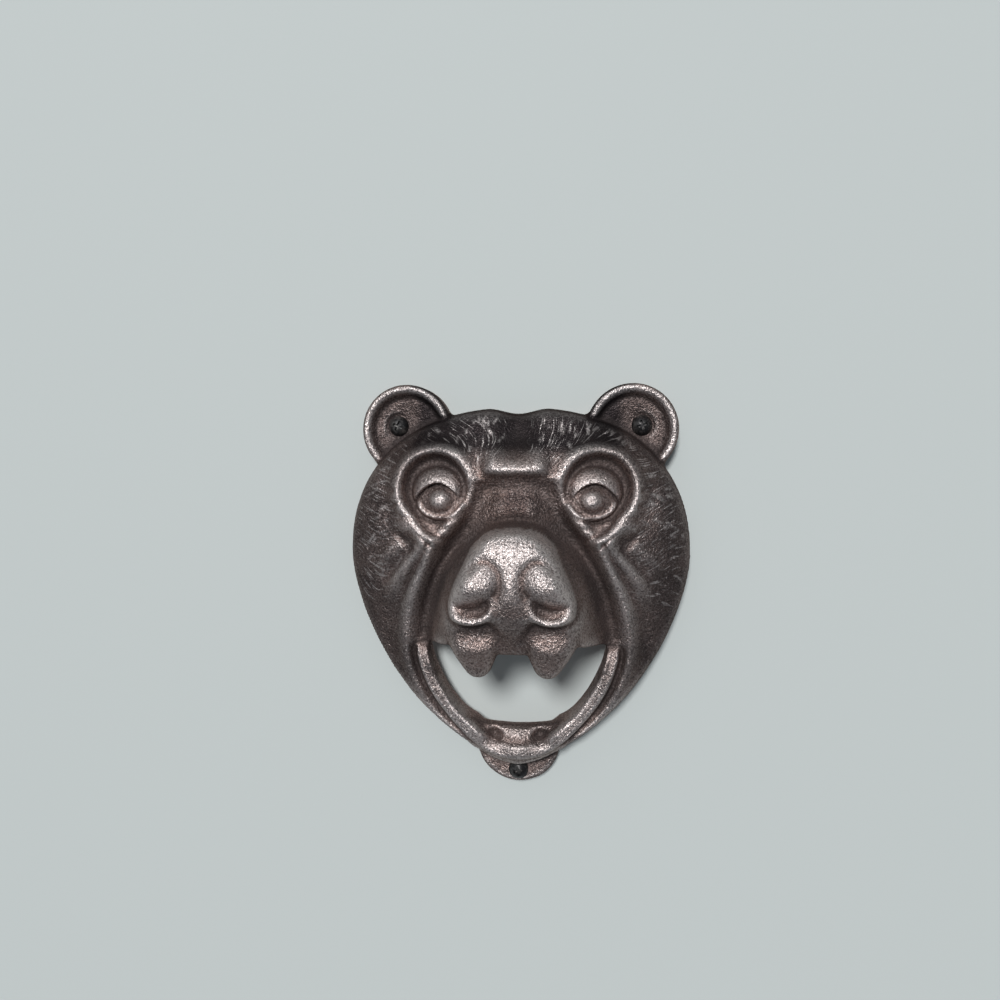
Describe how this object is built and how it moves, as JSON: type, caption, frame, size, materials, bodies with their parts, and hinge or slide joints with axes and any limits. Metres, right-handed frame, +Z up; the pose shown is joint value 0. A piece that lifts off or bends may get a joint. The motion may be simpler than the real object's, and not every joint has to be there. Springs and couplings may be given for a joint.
{
  "type": "wall-mounted bottle opener",
  "caption": "Cast iron bear-face bottle opener for a wall, with an open mouth that lifts the cap, screwed through its ears and chin tab into wall plugs.",
  "frame": {"origin": "on the wall's face, midway between the two ear holes", "axes": "+X to the viewer's right, +Y into the wall, +Z up"},
  "size_m": [0.1126, 0.0782, 0.1345],
  "materials": {
    "iron": "dark brown-black sand-cast skin with a light sheen",
    "screw_steel": "blackened steel",
    "plug_nylon": "plain grey nylon"
  },
  "bodies": {
    "root": {"face_casting": "iron", "left_ear_screw": "screw_steel", "right_ear_screw": "screw_steel", "chin_screw": "screw_steel", "left_ear_plug": "plug_nylon", "right_ear_plug": "plug_nylon", "chin_plug": "plug_nylon"}
  },
  "joints": []
}
